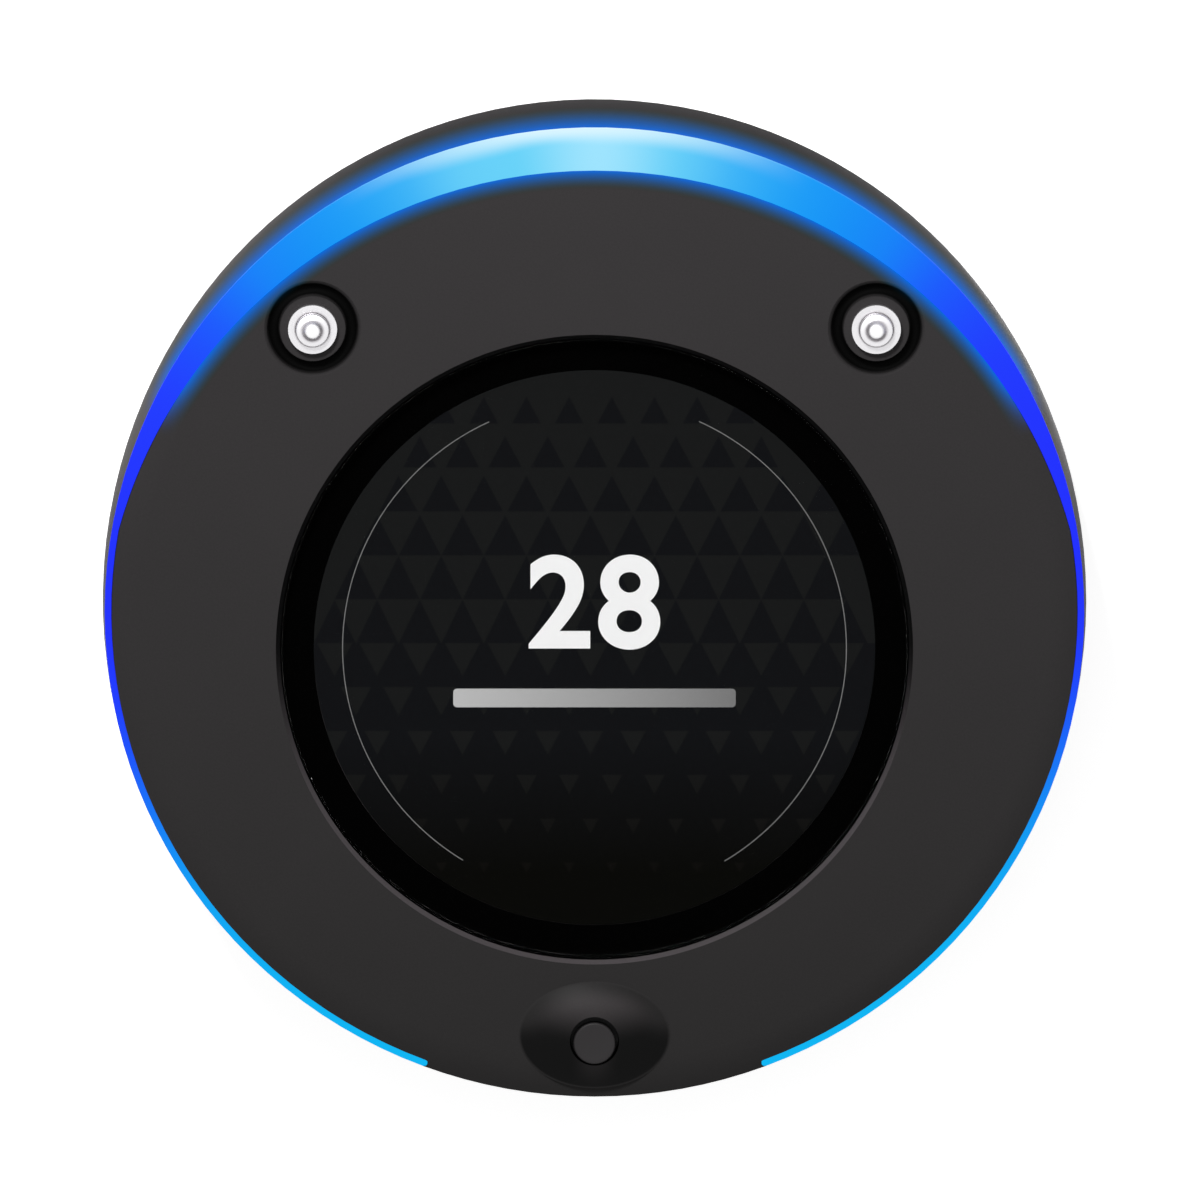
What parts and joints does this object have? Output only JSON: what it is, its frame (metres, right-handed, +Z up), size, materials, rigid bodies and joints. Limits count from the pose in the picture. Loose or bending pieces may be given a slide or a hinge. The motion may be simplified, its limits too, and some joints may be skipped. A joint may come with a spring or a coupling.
{
  "type": "guest pager",
  "caption": "Round stackable table pager with a light crescent round its rim, a recessed printed window, sprung charging pins and a push button.",
  "frame": {"origin": "middle of the plane that the rubber feet stand on", "axes": "+Z up out of the printed face, +Y towards the wide part of the light, -Y towards the push button"},
  "size_m": [0.1046, 0.1046, 0.0279],
  "materials": {
    "base_plastic": "fine spark texture",
    "cover_plastic": "fine spark texture",
    "light_diffuser": "frosted translucent polycarbonate, lit blue from within",
    "clear_window": "polished clear acrylic",
    "printed_label": "black printed film",
    "black_tape": "black foam tape",
    "foot_rubber": "matte",
    "screw_steel": "zinc plated",
    "button_plastic": "satin",
    "switch_plastic": "moulded",
    "spring_steel": "bright drawn",
    "tinned_metal": "tin plated",
    "circuit_board": "green solder mask over glass laminate",
    "lamp_white": "white lamp bodies",
    "battery_wrap": "silver pouch film",
    "foam": "white double-sided foam",
    "connector_plastic": "natural nylon",
    "red_insulation": "smooth insulation",
    "black_insulation": "smooth insulation",
    "motor_steel": "satin",
    "copper_wire": "enamelled copper",
    "chip_resin": "moulded resin",
    "pin_nickel": "bright nickel plate",
    "contact_brass": "bright strip"
  },
  "bodies": {
    "housing": {"base_shell": "base_plastic", "top_cover": "cover_plastic", "light_guide": "light_diffuser", "window_lens": "clear_window", "label_insert": "printed_label", "lens_tape_ring": "black_tape", "rubber_feet": "foot_rubber", "housing_screws": "screw_steel", "switch_body": "switch_plastic", "switch_dome": "spring_steel", "switch_terminals": "tinned_metal", "main_board": "circuit_board", "light_board": "circuit_board", "edge_leds": "lamp_white", "board_header": "switch_plastic", "battery_cell": "battery_wrap", "battery_pads": "foam", "battery_socket": "connector_plastic", "battery_plug": "connector_plastic", "battery_lead_red": "red_insulation", "battery_lead_black": "black_insulation", "motor_can": "motor_steel", "motor_end_cap": "connector_plastic", "motor_cradle": "foot_rubber", "motor_leads": "red_insulation", "buzzer": "switch_plastic", "radio_board": "circuit_board", "radio_shield": "tinned_metal", "antenna_coil": "copper_wire", "microcontroller": "chip_resin", "quartz_crystal": "tinned_metal", "capacitors": "tinned_metal", "chip_parts": "chip_resin", "charge_pin_barrel_left": "pin_nickel", "charge_pin_spring_left": "spring_steel", "base_contact_left": "pin_nickel", "contact_strap_left": "contact_brass", "charge_pin_barrel_right": "pin_nickel", "charge_pin_spring_right": "spring_steel", "base_contact_right": "pin_nickel", "contact_strap_right": "contact_brass"},
    "button": {"button_cap": "button_plastic", "switch_plunger": "switch_plastic"},
    "pin_left": {"charge_pin_plunger_left": "pin_nickel"},
    "pin_right": {"charge_pin_plunger_right": "pin_nickel"},
    "rotor": {"motor_shaft": "screw_steel", "motor_weight": "motor_steel"}
  },
  "joints": [
    {"name": "button_press", "type": "slide", "parent": "housing", "child": "button", "axis": [0, 0, -1], "range_m": [0, 0.0005], "stiffness_N_per_m": 2400, "deforming": ["switch_dome"]},
    {"name": "pin_left_press", "type": "slide", "parent": "housing", "child": "pin_left", "axis": [0, 0, -1], "range_m": [0, 0.0012], "stiffness_N_per_m": 800, "deforming": ["charge_pin_spring_left"]},
    {"name": "pin_right_press", "type": "slide", "parent": "housing", "child": "pin_right", "axis": [0, 0, -1], "range_m": [0, 0.0012], "stiffness_N_per_m": 800, "deforming": ["charge_pin_spring_right"]},
    {"name": "motor_spin", "type": "hinge", "parent": "housing", "child": "rotor", "pos_m": [0.005, 0.027, 0.0067], "axis": [1, 0, 0], "continuous": true}
  ]
}
